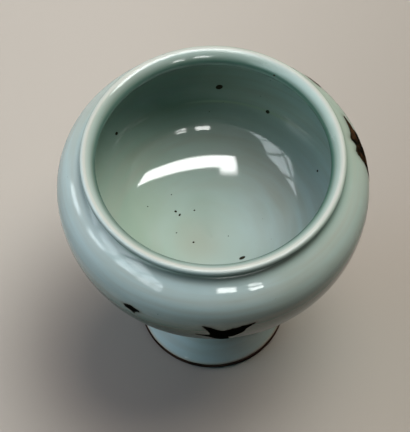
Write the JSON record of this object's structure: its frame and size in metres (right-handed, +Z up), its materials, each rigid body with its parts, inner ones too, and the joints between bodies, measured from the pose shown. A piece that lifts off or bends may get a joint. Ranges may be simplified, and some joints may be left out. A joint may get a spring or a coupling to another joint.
{
  "type": "footed bowl",
  "caption": "Round-shouldered ceramic bowl with a rolled lip on a hollow flared stem foot, covered in one pale celadon glaze with iron-brown spots.",
  "frame": {"origin": "on the axis of the bowl, on the plane that the foot ring stands on", "axes": "+Z up along the axis the bowl is turned about; +X to the right and +Y away, seen from the front of the picture"},
  "size_m": [0.16, 0.16, 0.1635],
  "materials": {
    "celadon_glaze": "glossy celadon glaze, paler where thin on the lip and greener where it pools, with near-black iron spots",
    "bare_clay": "dry iron-brown fired clay, bare only on the foot ring",
    "joining_slip": "dry fired slip, hidden in the joints"
  },
  "bodies": {
    "root": {"stem_foot": "bare_clay", "foot_joint_slip": "joining_slip", "lower_bowl": "bare_clay", "body_seam_slip": "joining_slip", "upper_bowl": "bare_clay", "glaze_coat": "celadon_glaze", "foot_well_glaze": "celadon_glaze"}
  },
  "joints": []
}
